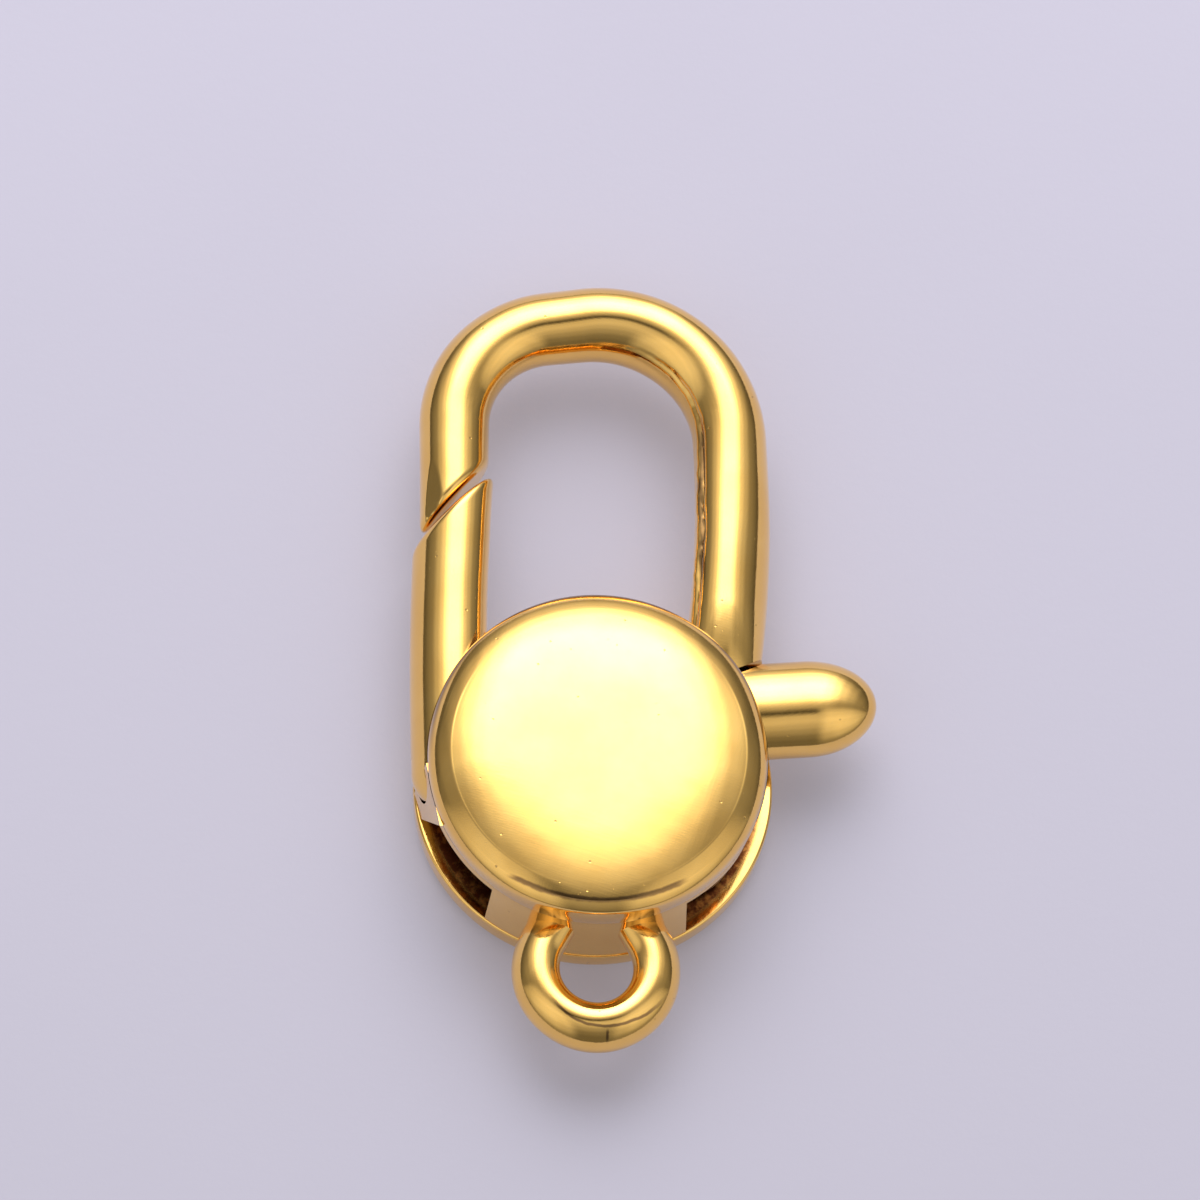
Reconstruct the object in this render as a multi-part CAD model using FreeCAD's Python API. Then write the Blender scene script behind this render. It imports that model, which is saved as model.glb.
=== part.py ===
"""Lobster clasp, 25 mm long: a cast gold-plated brass body with a round housing, a sprung trigger lever
that is gate and thumb lever in one, the pin that it turns on and the leaf spring that shuts it.

Millimetres. Z is up, away from the surface that the flat back lies on. Y points to the hook's arch
and X to the thumb lever. The origin is on the lever's pivot axis, where it meets the back face.
"""
import FreeCAD, Part
import math
import os

Vector = FreeCAD.Vector

# Housing: two round plates with the lever's slot between them
plate_thickness = 1.10
slot_height = 2.56
back_radius = 5.54
back_edge_radius = 0.45
back_lip_radius = 0.15
disc_radius = 5.27
disc_rim_thickness = 0.82
disc_crown = 0.62
disc_edge_radius = 0.68
disc_lip_radius = 0.08

# Walls between the plates, as angles round the pivot counted from the thumb side
wall_radius = 5.27
wall_foot_radius = 5.50
wall_seat = 0.06
foot_wall_angles = (232.5, 301.5)
foot_wall_inside = 4.40
limb_wall_angles = (30.0, 82.0)
limb_wall_inside = 3.64
post_angle = 192.0
post_thickness = 0.60
post_length = 0.85
post_slant = 1.20

# Hook: a round bar that rises from the housing, turns over the arch and ends in a slanted tip
hook_start = (3.83, 2.67)
hook_heading = 82.9
hook_bends = (
    # straight run before the bend, bend radius, turn to the left in degrees
    (1.02, 38.90, 10.8),
    (0.00, 4.05, 93.4),
    (1.17, 3.25, 82.9),
)
hook_last_run = 4.60
hook_foot_y = 3.77
hook_low_foot_y = 3.00
hook_foot_gap = 0.11
limb_radius = 1.20
tip_radius = 1.06
tip_x = -4.36
tip_cut_angle = 47.5
tip_cut_y = 8.82
tip_end_y = 8.05
tip_edge_radius = 0.25
tip_flat_depth = 0.10
tip_flat_top_y = 10.1
tip_flat_angle = 41.0

# Bail: a round wire bent to a U and cast on to the foot wall
bail_x = 0.03
bail_y = -6.42
bail_bend_radius = 1.87
bail_wire_radius = 0.73
bail_hole_radius = 1.15
bail_turn_end = 30.0
bail_leg_length = 0.70

# Trigger lever: gate arm, hub and thumb lever in one piece
lever_thickness = 2.36
gate_foot = (-4.50, -0.05)
gate_bow = (-4.55, 4.00)
gate_head = (-4.30, 10.40)
gate_radius = 1.18
gate_cut_angle = 44.5
gate_cut_y = 8.58
gate_edge_radius = 0.25
gate_gap = 0.12
hub_radius = 1.75
web_reach = 5.10
gate_web_y = (-0.50, 3.20)
thumb_root = (5.30, 2.12)
thumb_tilt = 5.2
thumb_tip_reach = 3.43
thumb_half_width = 1.54
thumb_half_height = 1.12
thumb_end_length = 2.20
thumb_tail = 1.90
thumb_web_y = (0.62, 3.52)
thumb_web_top_x = 3.55

# Pivot pin, and its clearance in the lever and seat in the plates
pin_radius = 0.60
pin_lever_clearance = 0.06
pin_seat_clearance = 0.02
pin_depth_in_disc = 0.54

# Return spring: a bent leaf between the foot wall and the thumb lever
spring_centre = (2.45, -1.72)
spring_radius = 1.90
spring_thickness = 0.22
spring_height = 2.00
spring_angles = (-130.0, 98.0)

# How far a cutting block reaches: past the whole housing, or only round the end of a bar
housing_reach = 8.0
bar_reach = 3.0

# How near a plane or a circle an edge has to be to count as lying on it
on_plane = 1e-2
on_circle = 1e-3

slot_bottom = plate_thickness
slot_top = plate_thickness + slot_height
middle_z = slot_bottom + slot_height / 2
rim_z = slot_top + disc_rim_thickness


def polar(radius, angle, z=0.0):
    """Point at a radius and an angle in degrees round the pivot."""
    turn = math.radians(angle)
    return Vector(radius * math.cos(turn), radius * math.sin(turn), z)


def prism(outline, low, high):
    """Upright prism on a closed outline of (x, y) corners."""
    corners = [Vector(x, y, low) for x, y in outline]
    face = Part.Face(Part.makePolygon(corners + corners[:1]))
    return face.extrude(Vector(0, 0, high - low))


def ring_sector(inner, outer, angles, low, high):
    """Upright wall along a ring round the pivot, between two angles in degrees."""
    start, end = angles
    middle = (start + end) / 2
    outside = Part.Arc(polar(outer, start, low), polar(outer, middle, low), polar(outer, end, low))
    inside = Part.Arc(polar(inner, end, low), polar(inner, middle, low), polar(inner, start, low))
    edges = [
        outside.toShape(),
        Part.makeLine(polar(outer, end, low), polar(inner, end, low)),
        inside.toShape(),
        Part.makeLine(polar(inner, start, low), polar(outer, start, low)),
    ]
    return Part.Face(Part.Wire(edges)).extrude(Vector(0, 0, high - low))


def round_bar(spine, start_radius, end_radius):
    """Round bar along a wire, with an even taper from one radius to the other."""
    sections = []
    ends = ((spine.Edges[0], 0, start_radius), (spine.Edges[-1], 1, end_radius))
    for edge, at_end, radius in ends:
        place = edge.LastParameter if at_end else edge.FirstParameter
        circle = Part.makeCircle(radius, edge.valueAt(place), edge.tangentAt(place))
        sections.append(Part.Wire(circle))
    shell = Part.BRepOffsetAPI.MakePipeShell(spine)
    shell.setFrenetMode(True)
    for section in sections:
        shell.add(section, False, False)
    shell.build()
    shell.makeSolid()
    return Part.Solid(shell.shape())


def half_space(point, normal, reach):
    """Block on the side of a plane that its normal points to, centred on the point."""
    block = Part.makeBox(2 * reach, 2 * reach, reach, Vector(-reach, -reach, 0))
    block.Placement = FreeCAD.Placement(point, FreeCAD.Rotation(Vector(0, 0, 1), normal)).multiply(
        block.Placement
    )
    return block


def rounded_edges(solid, radius, wanted):
    """Solid with a round on each edge that the test picks."""
    return solid.makeFillet(radius, [edge for edge in solid.Edges if wanted(edge)])


def is_rim(edge, radius, z):
    """Whether an edge is the circle of this radius about the pivot at this height."""
    on_curve = edge.valueAt(edge.FirstParameter)
    across = math.hypot(on_curve.x, on_curve.y)
    off = max(abs(across - radius), abs(on_curve.z - z), abs(edge.CenterOfMass.z - z))
    return off < on_circle


def back_plate():
    plate = Part.makeCylinder(back_radius, plate_thickness)
    plate = rounded_edges(plate, back_edge_radius, lambda edge: is_rim(edge, back_radius, 0.0))
    return rounded_edges(plate, back_lip_radius, lambda edge: is_rim(edge, back_radius, plate_thickness))


def front_disc():
    """Round plate with a pillowed top, a sphere's cap that meets a rounded rim."""
    cap_radius = (disc_radius ** 2 + disc_crown ** 2) / (2 * disc_crown)
    cap_angle = math.asin(disc_radius / cap_radius) / 2
    bottom = Vector(0, 0, slot_top)
    corner = Vector(disc_radius, 0, slot_top)
    rim = Vector(disc_radius, 0, rim_z)
    crown = Vector(0, 0, rim_z + disc_crown)
    on_cap = Vector(
        cap_radius * math.sin(cap_angle), 0, crown.z - cap_radius * (1 - math.cos(cap_angle))
    )
    edges = [
        Part.makeLine(bottom, corner),
        Part.makeLine(corner, rim),
        Part.Arc(rim, on_cap, crown).toShape(),
        Part.makeLine(crown, bottom),
    ]
    disc = Part.Face(Part.Wire(edges)).revolve(Vector(0, 0, 0), Vector(0, 0, 1), 360)
    disc = rounded_edges(disc, disc_edge_radius, lambda edge: is_rim(edge, disc_radius, rim_z))
    return rounded_edges(disc, disc_lip_radius, lambda edge: is_rim(edge, disc_radius, slot_top))


def walls():
    """What joins the two plates: the foot wall, the wall under the right limb and the gate's post."""
    low = slot_bottom - wall_seat
    high = slot_top + wall_seat
    foot = ring_sector(foot_wall_inside, back_radius, foot_wall_angles, low, high)
    limb = ring_sector(limb_wall_inside, back_radius, limb_wall_angles, low, high)
    limb = limb.common(half_space(Vector(0, hook_foot_y, 0), Vector(0, 1, 0), housing_reach))
    outside = drum(low, high)
    return [wall.common(outside) for wall in (foot, limb, gate_post(low, high))]


def drum(low, high):
    """Cone that the walls' outsides lie on, flush with the front disc and near flush with the back plate."""
    flare = (wall_foot_radius - wall_radius) / slot_height
    low_radius = wall_radius + flare * (slot_top - low)
    high_radius = wall_radius + flare * (slot_top - high)
    return Part.makeCone(low_radius, high_radius, high - low, Vector(0, 0, low))


def gate_post(low, high):
    """Short wall below the gate's foot. It is longer at the front disc than at the back plate."""
    along = polar(1.0, post_angle + 90)
    outward = polar(1.0, post_angle)
    start = polar(wall_radius - post_thickness, post_angle)
    slant_per_mm = post_slant / slot_height
    profile = (
        (-post_length, low),
        (-slant_per_mm * (slot_bottom - low), low),
        (slant_per_mm * (high - slot_bottom), high),
        (-post_length, high),
    )
    corners = [start + along * shift + Vector(0, 0, z) for shift, z in profile]
    face = Part.Face(Part.makePolygon(corners + corners[:1]))
    return face.extrude(outward * (2 * post_thickness))


def hook_spine():
    """Centreline of the hook, from below the end of the right limb to past the slanted tip."""
    place = Vector(hook_start[0], hook_start[1], middle_z)
    heading = hook_heading
    edges = []
    for run, radius, turn in hook_bends:
        if run:
            edges.append(Part.makeLine(place, place + polar(run, heading)))
            place = place + polar(run, heading)
        centre = place + polar(radius, heading + 90)
        middle = centre + polar(radius, heading - 90 + turn / 2)
        end = centre + polar(radius, heading - 90 + turn)
        edges.append(Part.Arc(place, middle, end).toShape())
        place = end
        heading += turn
    edges.append(Part.makeLine(place, place + polar(hook_last_run, heading)))
    return Part.Wire(edges)


def slanted_tip(bar, x, cut_angle, cut_y, side, edge_radius):
    """Bar end cut on the slant, with the new edge rounded.

    side is 1 where the slant faces up and away from the loop, and -1 where it faces down to it.
    """
    turn = math.radians(cut_angle)
    normal = Vector(-math.sin(turn), math.cos(turn), 0) * side
    point = Vector(x, cut_y, middle_z)
    bar = bar.cut(half_space(point, normal, bar_reach))
    return rounded_edges(
        bar, edge_radius, lambda edge: abs((edge.CenterOfMass - point).dot(normal)) < on_plane
    )


def hook():
    bar = round_bar(hook_spine(), limb_radius, tip_radius)
    bar = slanted_tip(bar, tip_x, tip_cut_angle, tip_cut_y, -1, tip_edge_radius)
    flat_slope = tip_flat_depth / (tip_flat_top_y - tip_end_y)
    flat_turn = math.radians(tip_flat_angle)
    flat_normal = Vector(-math.sin(flat_turn), -flat_slope, math.cos(flat_turn))
    flat_normal.normalize()
    flat_top = Vector(tip_x, tip_flat_top_y, middle_z) + flat_normal * tip_radius
    bar = bar.cut(half_space(flat_top, flat_normal, bar_reach))
    return bar.cut(limb_foot_room())


def limb_foot_room():
    """Room for the lever below the right limb, whose foot straddles the thumb lever's root."""
    inside_housing = Part.makeCylinder(web_reach + hook_foot_gap, 2 * middle_z)
    inside_housing = inside_housing.common(
        half_space(Vector(0, hook_foot_y, middle_z), Vector(0, -1, 0), housing_reach)
    )
    below = half_space(Vector(hook_start[0], hook_low_foot_y, middle_z), Vector(0, -1, 0), bar_reach)
    return inside_housing.multiFuse([below, thumb(hook_foot_gap)])


def bail():
    """U of round wire whose straight legs lean in and end inside the foot wall.

    The wire has a narrow flat on the inside, so that the throat of the U is a true cylinder.
    """
    centre = Vector(bail_x, bail_y, middle_z)
    wire = Part.makeCylinder(bail_wire_radius, bail_leg_length)
    flat_side = bail_bend_radius - bail_hole_radius
    leg = wire.common(Part.makeBox(
        2 * bail_bend_radius, 2 * bail_bend_radius, bail_leg_length,
        Vector(-flat_side, -bail_bend_radius, 0),
    ))
    section = [face for face in leg.Faces if face.CenterOfMass.z < on_plane][0]
    section.rotate(Vector(0, 0, 0), Vector(1, 0, 0), 90)
    section.translate(Vector(bail_bend_radius, 0, 0))
    section.rotate(Vector(0, 0, 0), Vector(0, 0, 1), 180 - bail_turn_end)
    turn = 180 + 2 * bail_turn_end
    bend = section.revolve(Vector(0, 0, 0), Vector(0, 0, 1), turn)
    left_leg = section.extrude(polar(bail_leg_length, 90 - bail_turn_end))
    right_section = section.copy()
    right_section.rotate(Vector(0, 0, 0), Vector(0, 0, 1), turn)
    right_leg = right_section.extrude(polar(bail_leg_length, 90 + bail_turn_end))
    pieces = bend.fuse([left_leg, right_leg])
    pieces.translate(centre)
    return pieces


def bail_scallop():
    """Shallow hollow in the foot wall, where the round of the bail's hole runs into it."""
    hole = upright_hole(
        bail_x, bail_y, bail_hole_radius, middle_z - bail_wire_radius, middle_z + bail_wire_radius
    )
    between_legs = Part.makeBox(
        bail_hole_radius, bail_hole_radius, 2 * middle_z,
        Vector(bail_x - bail_hole_radius / 2, -back_radius, 0),
    )
    return hole.common(between_legs)


def upright_hole(x, y, radius, low, high):
    return Part.makeCylinder(radius, high - low, Vector(x, y, low))


def gate_foot_room():
    """Space that the gate's rounded foot needs beside its post."""
    centre = Vector(gate_foot[0], gate_foot[1], middle_z)
    return Part.makeSphere(gate_radius + gate_gap, centre)


def clasp_body():
    """The casting: plates, walls, hook and bail are one piece of metal."""
    solid = back_plate().multiFuse([front_disc(), hook(), bail()] + walls())
    solid = solid.cut(gate_foot_room().common(prism_between_plates()))
    pin_hole = upright_hole(0, 0, pin_radius + pin_seat_clearance, 0, slot_top + pin_depth_in_disc)
    return solid.cut(pin_hole).cut(bail_scallop())


def prism_between_plates():
    """The slot's full height, wider than the housing."""
    return Part.makeCylinder(2 * back_radius, slot_height, Vector(0, 0, slot_bottom))


def gate_arm():
    points = [Vector(x, y, middle_z) for x, y in (gate_foot, gate_bow, gate_head)]
    spine = Part.Wire([Part.Arc(*points).toShape()])
    bar = round_bar(spine, gate_radius, gate_radius)
    bar = slanted_tip(bar, gate_head[0], gate_cut_angle, gate_cut_y, 1, gate_edge_radius)
    return bar.fuse(Part.makeSphere(gate_radius, points[0]))


def thumb(room=0.0):
    """Oval bar with an ellipsoid end, turned round about its own line and then flattened.

    With a room it is that much wider and taller, which is what another piece keeps clear of it.
    """
    straight = thumb_tip_reach + thumb_tail - thumb_end_length
    half_width = thumb_half_width + room
    half_height = thumb_half_height + room
    tail = Vector(0, 0, 0)
    tail_rim = Vector(0, half_width, 0)
    shoulder = Vector(straight, half_width, 0)
    tip = Vector(straight + thumb_end_length, 0, 0)
    end = Part.Ellipse(tip, shoulder, Vector(straight, 0, 0))
    edges = [
        Part.makeLine(tail, tail_rim),
        Part.makeLine(tail_rim, shoulder),
        end.toShape(0, math.pi / 2),
        Part.makeLine(tip, tail),
    ]
    shape = Part.Face(Part.Wire(Part.sortEdges(edges)[0])).revolve(tail, Vector(1, 0, 0), 360)
    flatten = FreeCAD.Matrix()
    flatten.scale(1, 1, half_height / half_width)
    shape = shape.transformGeometry(flatten)
    shape.translate(Vector(-thumb_tail, 0, 0))
    shape.rotate(tail, Vector(0, 0, 1), thumb_tilt)
    shape.translate(Vector(thumb_root[0], thumb_root[1], middle_z))
    return shape


def trigger_lever():
    low = middle_z - lever_thickness / 2
    high = middle_z + lever_thickness / 2
    gate_low, gate_high = gate_web_y
    thumb_low, thumb_high = thumb_web_y
    gate_web = prism(
        ((0, hub_radius), (gate_foot[0], gate_high), (gate_foot[0], gate_low), (0, -hub_radius)), low, high
    )
    thumb_web = prism(
        (
            (0, thumb_low), (web_reach, thumb_low), (web_reach, thumb_high),
            (thumb_web_top_x, thumb_high), (0, hub_radius),
        ),
        low, high,
    )
    inside = Part.makeCylinder(web_reach, high - low, Vector(0, 0, low))
    webs = [web.common(inside) for web in (gate_web, thumb_web)]
    hub = Part.makeCylinder(hub_radius, high - low, Vector(0, 0, low))
    solid = hub.multiFuse(webs + [gate_arm(), thumb()])
    hole = upright_hole(0, 0, pin_radius + pin_lever_clearance, low, high)
    return solid.cut(hole).removeSplitter()


def pivot_pin():
    return Part.makeCylinder(pin_radius, slot_top + pin_depth_in_disc - pin_seat_clearance)


def return_spring():
    inner = spring_radius - spring_thickness / 2
    outer = spring_radius + spring_thickness / 2
    low = middle_z - spring_height / 2
    leaf = ring_sector(inner, outer, spring_angles, low, low + spring_height)
    leaf.translate(Vector(spring_centre[0], spring_centre[1], 0))
    return leaf


nodes = {
    "clasp_body": clasp_body,
    "trigger_lever": trigger_lever,
    "pivot_pin": pivot_pin,
    "return_spring": return_spring,
}

os.makedirs("parts", exist_ok=True)
for name, make in nodes.items():
    shape = make()
    if shape.ShapeType != "Solid":
        shape = shape.Solids[0]
    shape.exportStep(f"parts/{name}.step")
    box = shape.BoundBox
    print(
        f"{name}: valid {shape.isValid()}, volume {shape.Volume:.1f} mm3,"
        f" x {box.XMin:.2f}..{box.XMax:.2f}, y {box.YMin:.2f}..{box.YMax:.2f}, z {box.ZMin:.2f}..{box.ZMax:.2f}"
    )
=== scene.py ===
import math

import bmesh
import bpy
import numpy as np
from mathutils import Matrix, Vector, noise


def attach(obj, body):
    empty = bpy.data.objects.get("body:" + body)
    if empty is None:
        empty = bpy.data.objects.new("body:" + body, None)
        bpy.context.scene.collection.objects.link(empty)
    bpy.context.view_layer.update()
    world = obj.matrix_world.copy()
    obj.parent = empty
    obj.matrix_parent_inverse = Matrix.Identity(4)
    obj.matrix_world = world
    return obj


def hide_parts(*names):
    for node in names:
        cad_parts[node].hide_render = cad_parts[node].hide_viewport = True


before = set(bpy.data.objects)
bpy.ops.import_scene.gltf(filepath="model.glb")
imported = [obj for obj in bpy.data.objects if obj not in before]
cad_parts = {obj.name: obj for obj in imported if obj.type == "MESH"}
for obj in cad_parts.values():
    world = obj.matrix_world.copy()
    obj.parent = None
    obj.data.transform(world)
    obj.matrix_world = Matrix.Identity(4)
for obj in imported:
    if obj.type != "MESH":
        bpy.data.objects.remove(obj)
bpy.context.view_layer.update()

MM = 0.001

# Sizes of the clasp in millimetres and degrees. The main forms have the sizes of the solids, and the leans,
# the seam, the tip's flat and the disc's pillow are added here.
MIDDLE_Z = 2.38
SLOT_LOW, SLOT_HIGH = 1.10, 3.66
BACK_RADIUS, BACK_ROUND, BACK_LIP = 5.56, 0.45, 0.09
DISC_RADIUS, DISC_TOP, DISC_LIP = 5.27, 5.10, 0.08
WALL_RADIUS, WALL_FOOT_RADIUS = 5.27, 5.50
PIN_SEAT_RADIUS, PIN_TOP = 0.62, 4.20

# Walls between the plates: inner radius, and the angles round the pivot where they start and end
FOOT_WALL, LIMB_WALL = (4.40, 232.5, 301.5), (3.64, 44.5, 82.0)
WALL_LOW, WALL_HIGH = 1.00, 3.74
# Deeper rim of the disc over the two windows, whose edge rises on the right towards the thumb lever
LEFT_RIM, RIGHT_RIM = (4.96, 197.0, 233.5), (4.96, 300.5, 332.0)
DEEP_RIM_Z, RIGHT_RIM_FADE, RIM_FADE_GAP = 3.32, 14.0, 0.03
POST_ANGLE, POST_DEPTH, POST_LENGTH, POST_SLANT, POST_SINK = 192.0, 0.60, 0.85, 1.20, 0.03

HOOK_START, HOOK_HEADING = (3.83, 2.67), 82.9
HOOK_BENDS = ((1.02, 38.90, 10.8), (0.00, 4.05, 93.4), (1.17, 3.25, 82.9))
HOOK_LAST_RUN, HOOK_FOOT_Y = 4.60, 3.77
HOOK_LOW_FOOT_Y, HOOK_FOOT_GAP, WEB_REACH = 3.00, 0.11, 5.10
LIMB_RADIUS, TIP_RADIUS = 1.20, 1.06
HOOK_ROUND = 150
HOOK_STRAIGHT_TIP, HOOK_CUT_POINT, HOOK_CUT_TURN = 0.75, (-4.36, 8.82), 47.5
HOOK_CUT_SHARP, HOOK_CUT_BLUNT = 0.50, 0.28
TIP_FLAT_POINT, TIP_FLAT_TILT, TIP_FLAT_FALL = (-4.36, 10.1), 41.0, 0.10 / 2.05
TIP_FLAT_LIFT, TIP_FLAT_END_Y = 0.045, 10.6
# Lean of the hook's section: how much, and where along its path and how far
HOOK_LEANS = ((0.16, 12.3, 3.2), (-0.15, 4.0, 3.6))
SEAM_MIDDLE, SEAM_SPREAD = 5.5, 4.6
# Mould seam's groove and ridge: share of the bar's radius, angle round the bar and width in degrees
SEAM_GROOVE, SEAM_RIDGE = (0.085, 143, 4.0), (0.035, 154, 5.0)
FOOT_FALL, FOOT_FALL_FROM, FOOT_FALL_OVER, FOOT_FALL_POWER = 0.22, 2.7, 2.0, 1.7

BAIL_START, BAIL_HEADING = (-1.24, -4.88), 240.0
BAIL_BENDS = ((0.70, 1.87, 240.0),)
BAIL_LAST_RUN, BAIL_RADIUS, BAIL_LEAN = 0.70, 0.73, -0.20

GATE_FOOT, GATE_BOW, GATE_HEAD = (-4.50, -0.05), (-4.55, 4.00), (-4.30, 10.40)
GATE_RADIUS, GATE_LEAN, GATE_FOOT_ROOM = 1.18, 0.12, 1.27
GATE_STRAIGHT, GATE_CUT_POINT, GATE_CUT_TURN = 6.6, (-4.30, 8.58), 44.5
GATE_CUT_SHARP, GATE_CUT_BLUNT = 0.42, 0.30

THUMB_ROOT, THUMB_TILT = (5.30, 2.12), 5.2
THUMB_TAIL, THUMB_REACH, THUMB_END = 1.90, 3.43, 2.20
THUMB_HALF_WIDTH, THUMB_HALF_HEIGHT = 1.54, 1.12

HUB_RADIUS, HUB_HALF_HEIGHT, PIN_ROOM_RADIUS = 1.75, 1.18, 0.66
GATE_WEB = ((0, 1.745), (-4.5, 3.2), (-4.5, -0.5), (0, -1.745))
THUMB_WEB = ((0, 0.62), (4.98, 0.62), (4.98, 1.72), (3.66, 3.52), (3.55, 3.52), (0, 1.745))
# Step between the heights of the hub and of each web, so that no two faces lie in one plane
WEB_STEP = 0.002


# Meshes from rings of points

def direction(angle):
    turn = math.radians(angle)
    return np.array((math.cos(turn), math.sin(turn), 0.0))


def ring_quads(rows, columns, closed_rows=False):
    """Quads of a tube of rings, each ring closed on itself."""
    faces = []
    for i in range(rows if closed_rows else rows - 1):
        a, b = i * columns, ((i + 1) % rows) * columns
        for j in range(columns):
            k = (j + 1) % columns
            faces.append((a + j, a + k, b + k, b + j))
    return faces


def tube(rings):
    """Closed tube: rings of points, with a fan to the middle at each end."""
    rings = np.asarray(rings)
    rows, columns = rings.shape[:2]
    points = list(rings.reshape(-1, 3))
    faces = ring_quads(rows, columns)
    for row, flip in ((0, True), (rows - 1, False)):
        middle = len(points)
        points.append(rings[row].mean(axis=0))
        for j in range(columns):
            k = (j + 1) % columns
            a, b = row * columns + j, row * columns + k
            faces.append((b, a, middle) if flip else (a, b, middle))
    return points, faces


def mesh_object(name, points, faces):
    """Closed mesh in millimetres, the unit in which the pieces are joined before to_metres."""
    mesh = bpy.data.meshes.new(name)
    mesh.from_pydata([tuple(p) for p in np.asarray(points)], [], faces)
    mesh.validate()
    thing = bpy.data.objects.new(name, mesh)
    bpy.context.scene.collection.objects.link(thing)
    outward(mesh)
    return thing


def outward(mesh):
    """Turns the faces so that they point out of the closed mesh."""
    work = bmesh.new()
    work.from_mesh(mesh)
    bmesh.ops.recalc_face_normals(work, faces=work.faces)
    if work.calc_volume(signed=True) < 0:
        bmesh.ops.reverse_faces(work, faces=work.faces)
    work.to_mesh(mesh)
    work.free()


def to_metres(thing, sharp=32.0):
    mesh = thing.data
    mesh.transform(Matrix.Scale(MM, 4))
    mesh.shade_smooth()
    mesh.set_sharp_from_angle(angle=math.radians(sharp))


def combined(name, pieces, mode="UNION"):
    """One mesh from overlapping closed meshes."""
    base = pieces[0]
    for other in pieces[1:]:
        boolean = base.modifiers.new("join", "BOOLEAN")
        boolean.operation = mode
        boolean.solver = "MANIFOLD"
        boolean.object = other
    graph = bpy.context.evaluated_depsgraph_get()
    mesh = bpy.data.meshes.new_from_object(base.evaluated_get(graph))
    mesh.name = name
    for piece in pieces:
        bpy.data.objects.remove(piece)
    thing = bpy.data.objects.new(name, mesh)
    bpy.context.scene.collection.objects.link(thing)
    return thing


# Paths

class Path:
    """Planar path of straight runs and bends to the left, at the height of the bars' middle."""

    def __init__(self, start, heading, bends, last_run):
        self.parts = []
        place = np.array((start[0], start[1], MIDDLE_Z))
        self.length = 0.0
        for run, radius, turn in tuple(bends) + ((last_run, 0.0, 0.0),):
            if run:
                self.parts.append((self.length, run, place, heading, 0.0))
                place = place + run * direction(heading)
                self.length += run
            if radius:
                arc = radius * math.radians(abs(turn))
                bend = math.copysign(radius, turn)
                self.parts.append((self.length, arc, place, heading, bend))
                centre = place + bend * direction(heading + 90)
                place = centre + bend * direction(heading - 90 + turn)
                heading += turn
                self.length += arc

    def at(self, s):
        """Point and heading at a length along the path, which goes straight on past its ends."""
        for begin, length, place, heading, bend in self.parts:
            if s <= begin + length or begin == self.parts[-1][0]:
                break
        t = s - begin
        if not bend or t < 0:
            return place + t * direction(heading), heading
        turn = math.degrees(t / bend)
        centre = place + bend * direction(heading + 90)
        return centre + bend * direction(heading - 90 + turn), heading + turn


def through(a, b, c):
    """Path of one bend through three points, with its heading at the first."""
    ax, ay, bx, by, cx, cy = *a, *b, *c
    d = 2 * (ax * (by - cy) + bx * (cy - ay) + cx * (ay - by))
    ux = ((ax**2 + ay**2) * (by - cy) + (bx**2 + by**2) * (cy - ay) + (cx**2 + cy**2) * (ay - by)) / d
    uy = ((ax**2 + ay**2) * (cx - bx) + (bx**2 + by**2) * (ax - cx) + (cx**2 + cy**2) * (bx - ax)) / d
    radius = math.hypot(ax - ux, ay - uy)
    side = math.copysign(1.0, (bx - ax) * (cy - ay) - (by - ay) * (cx - ax))
    heading = math.degrees(math.atan2(ay - uy, ax - ux)) + 90 * side
    turn = math.degrees(math.asin(min(1.0, math.dist(a, c) / 2 / radius))) * 2
    return Path(a, heading, ((0.0, radius, turn * side),), 0.0)


# Bars

ROUND = 96


def section(path, s, radius, shape=None, count=ROUND):
    """Ring of points round a path. Angle 0 is to the path's right, 90 is up."""
    place, heading = path.at(s)
    side = direction(heading - 90)
    up = np.array((0.0, 0.0, 1.0))
    ring = []
    for j in range(count):
        angle = 2 * math.pi * j / count
        a, b = math.cos(angle), math.sin(angle)
        if shape:
            a, b = shape(s, a, b)
        ring.append(place + radius * (a * side + b * up))
    return np.array(ring)


def cut_end(path, radius_at, start, point, normal, sharp_round, blunt_round, shape=None, count=ROUND):
    """Rings of a bar from a length along its path to a slanted cut with a rounded edge."""
    point = np.array((point[0], point[1], MIDDLE_Z))
    normal = np.array((normal[0], normal[1], 0.0))

    low = np.full(count, start)
    high = np.full(count, start + 6.0)
    for _ in range(34):
        middle = (low + high) / 2
        rows = np.array([section(path, s, radius_at(s), shape, count)[j] for j, s in enumerate(middle)])
        inside = (rows - point) @ normal < 0
        low = np.where(inside, middle, low)
        high = np.where(inside, high, middle)
    ends = (low + high) / 2
    edge = np.array([section(path, s, radius_at(s), shape, count)[j] for j, s in enumerate(ends)])
    centre = edge.mean(axis=0)
    reach = (ends - ends.min()) / (ends.max() - ends.min())
    soft = blunt_round + (sharp_round - blunt_round) * reach
    before = ends - soft
    rings = []
    for t in np.linspace(0, 1, 26)[1:]:
        lengths = start + (before - start) * t
        ring = [section(path, s, radius_at(s), shape, count)[j] for j, s in enumerate(lengths)]
        rings.append(np.array(ring))
    a = rings[-1]
    inward = centre - edge
    far = np.linalg.norm(inward, axis=1)
    b = edge + inward * (np.minimum(soft, far * 0.6) / far)[:, None]
    for t in np.linspace(0, 1, 9)[1:]:
        rings.append(a * (1 - t) ** 2 + 2 * t * (1 - t) * edge + t * t * b)
    for t in np.linspace(0, 1, 9)[1:-1]:
        rings.append(b + (centre - b) * t)
    return rings


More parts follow.
